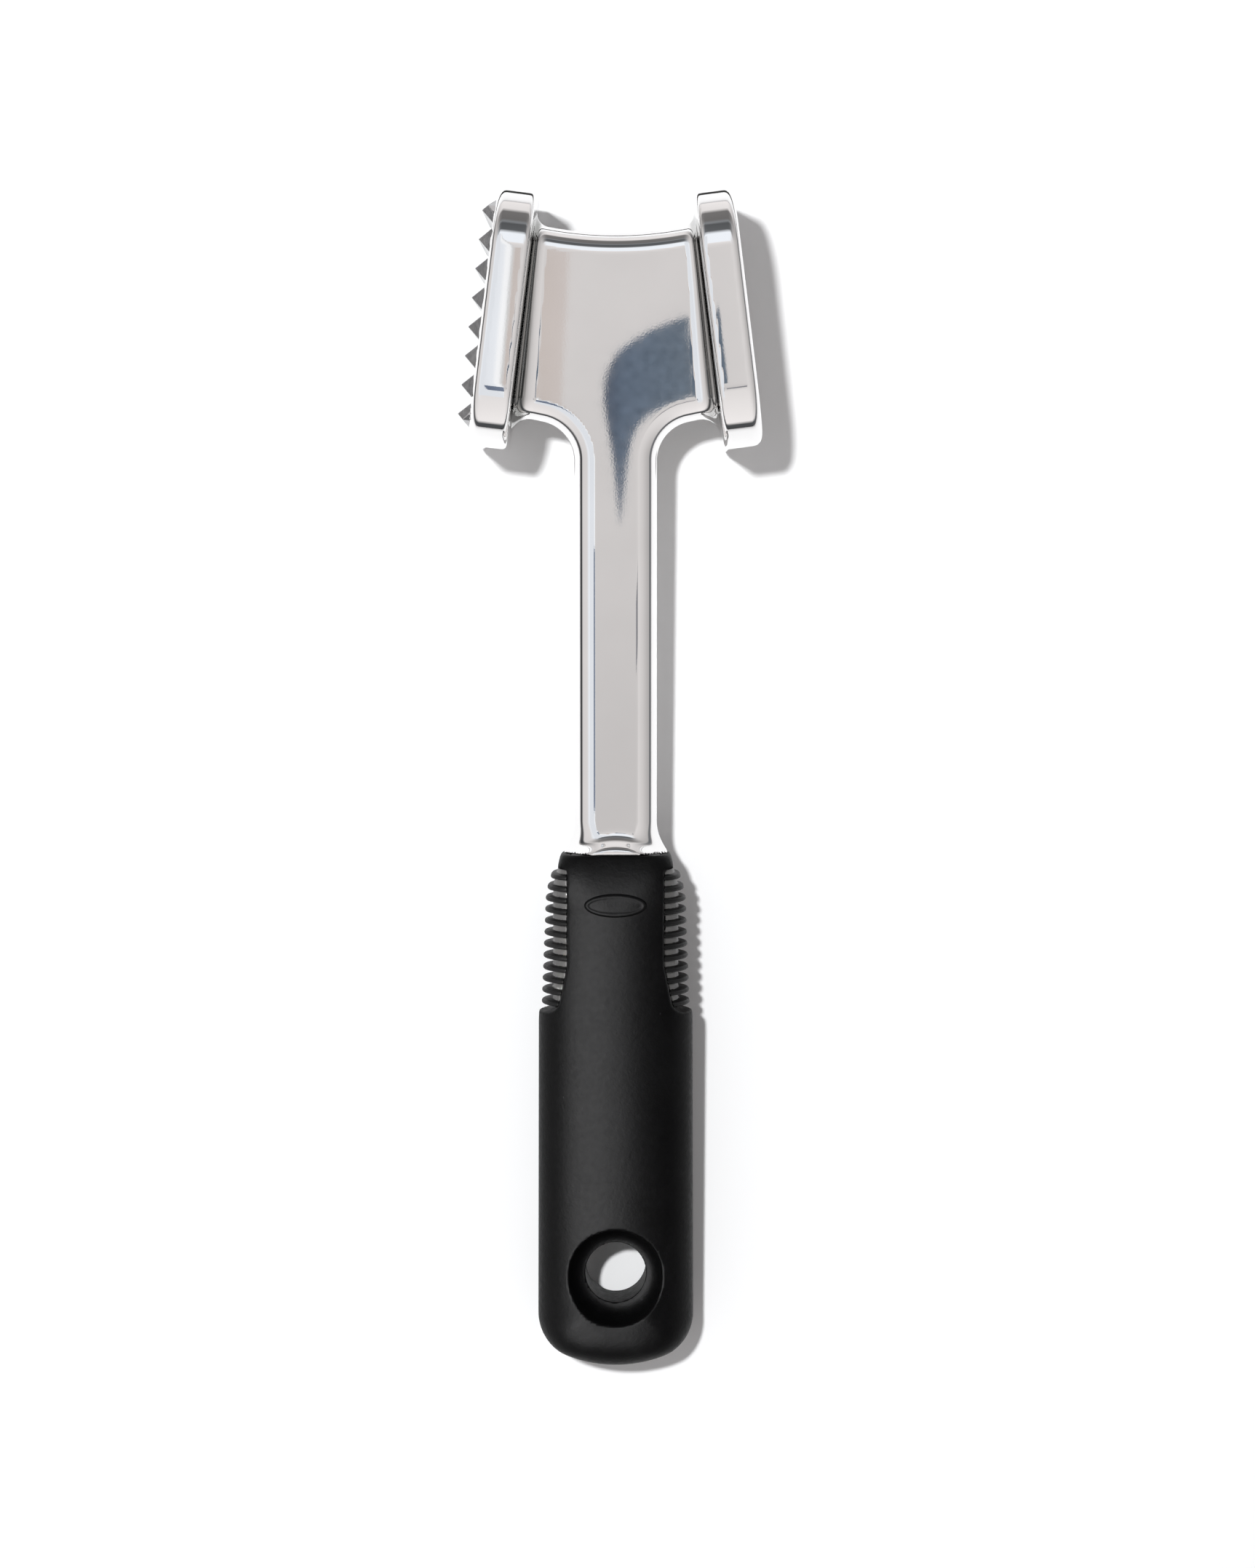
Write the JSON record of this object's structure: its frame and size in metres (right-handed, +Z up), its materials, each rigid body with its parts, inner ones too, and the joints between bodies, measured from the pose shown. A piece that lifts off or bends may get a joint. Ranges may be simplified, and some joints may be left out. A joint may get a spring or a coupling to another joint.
{
  "type": "meat mallet",
  "caption": "Hand mallet for tenderising meat: a cast double-faced head, toothed and smooth, on a shank with a soft finned grip and a hanging hole.",
  "frame": {"origin": "centre of the bounding box's bottom, on the surface that the tool lies on", "axes": "the tool lies on its side: +Z up, +Y along the tool from the grip's end to the head, +X from the toothed face to the smooth face. The grip's axis rises towards the head by 3.76 degrees, because the head is thicker than the grip."},
  "size_m": [0.061, 0.2404, 0.0538],
  "materials": {
    "cast_aluminium": "polished die casting",
    "core_plastic": "moulded, unseen inside the grip",
    "pin_steel": "ground dowel",
    "soft_grip": "matt soft elastomer",
    "fin_rubber": "matt soft elastomer, a shade lighter"
  },
  "bodies": {
    "root": {"head_casting": "cast_aluminium", "core_front_half": "core_plastic", "core_back_half": "core_plastic", "tang_pin_upper": "pin_steel", "tang_pin_lower": "pin_steel", "grip_sleeve": "soft_grip", "fin_pad_left": "fin_rubber", "fin_pad_right": "fin_rubber"}
  },
  "joints": []
}
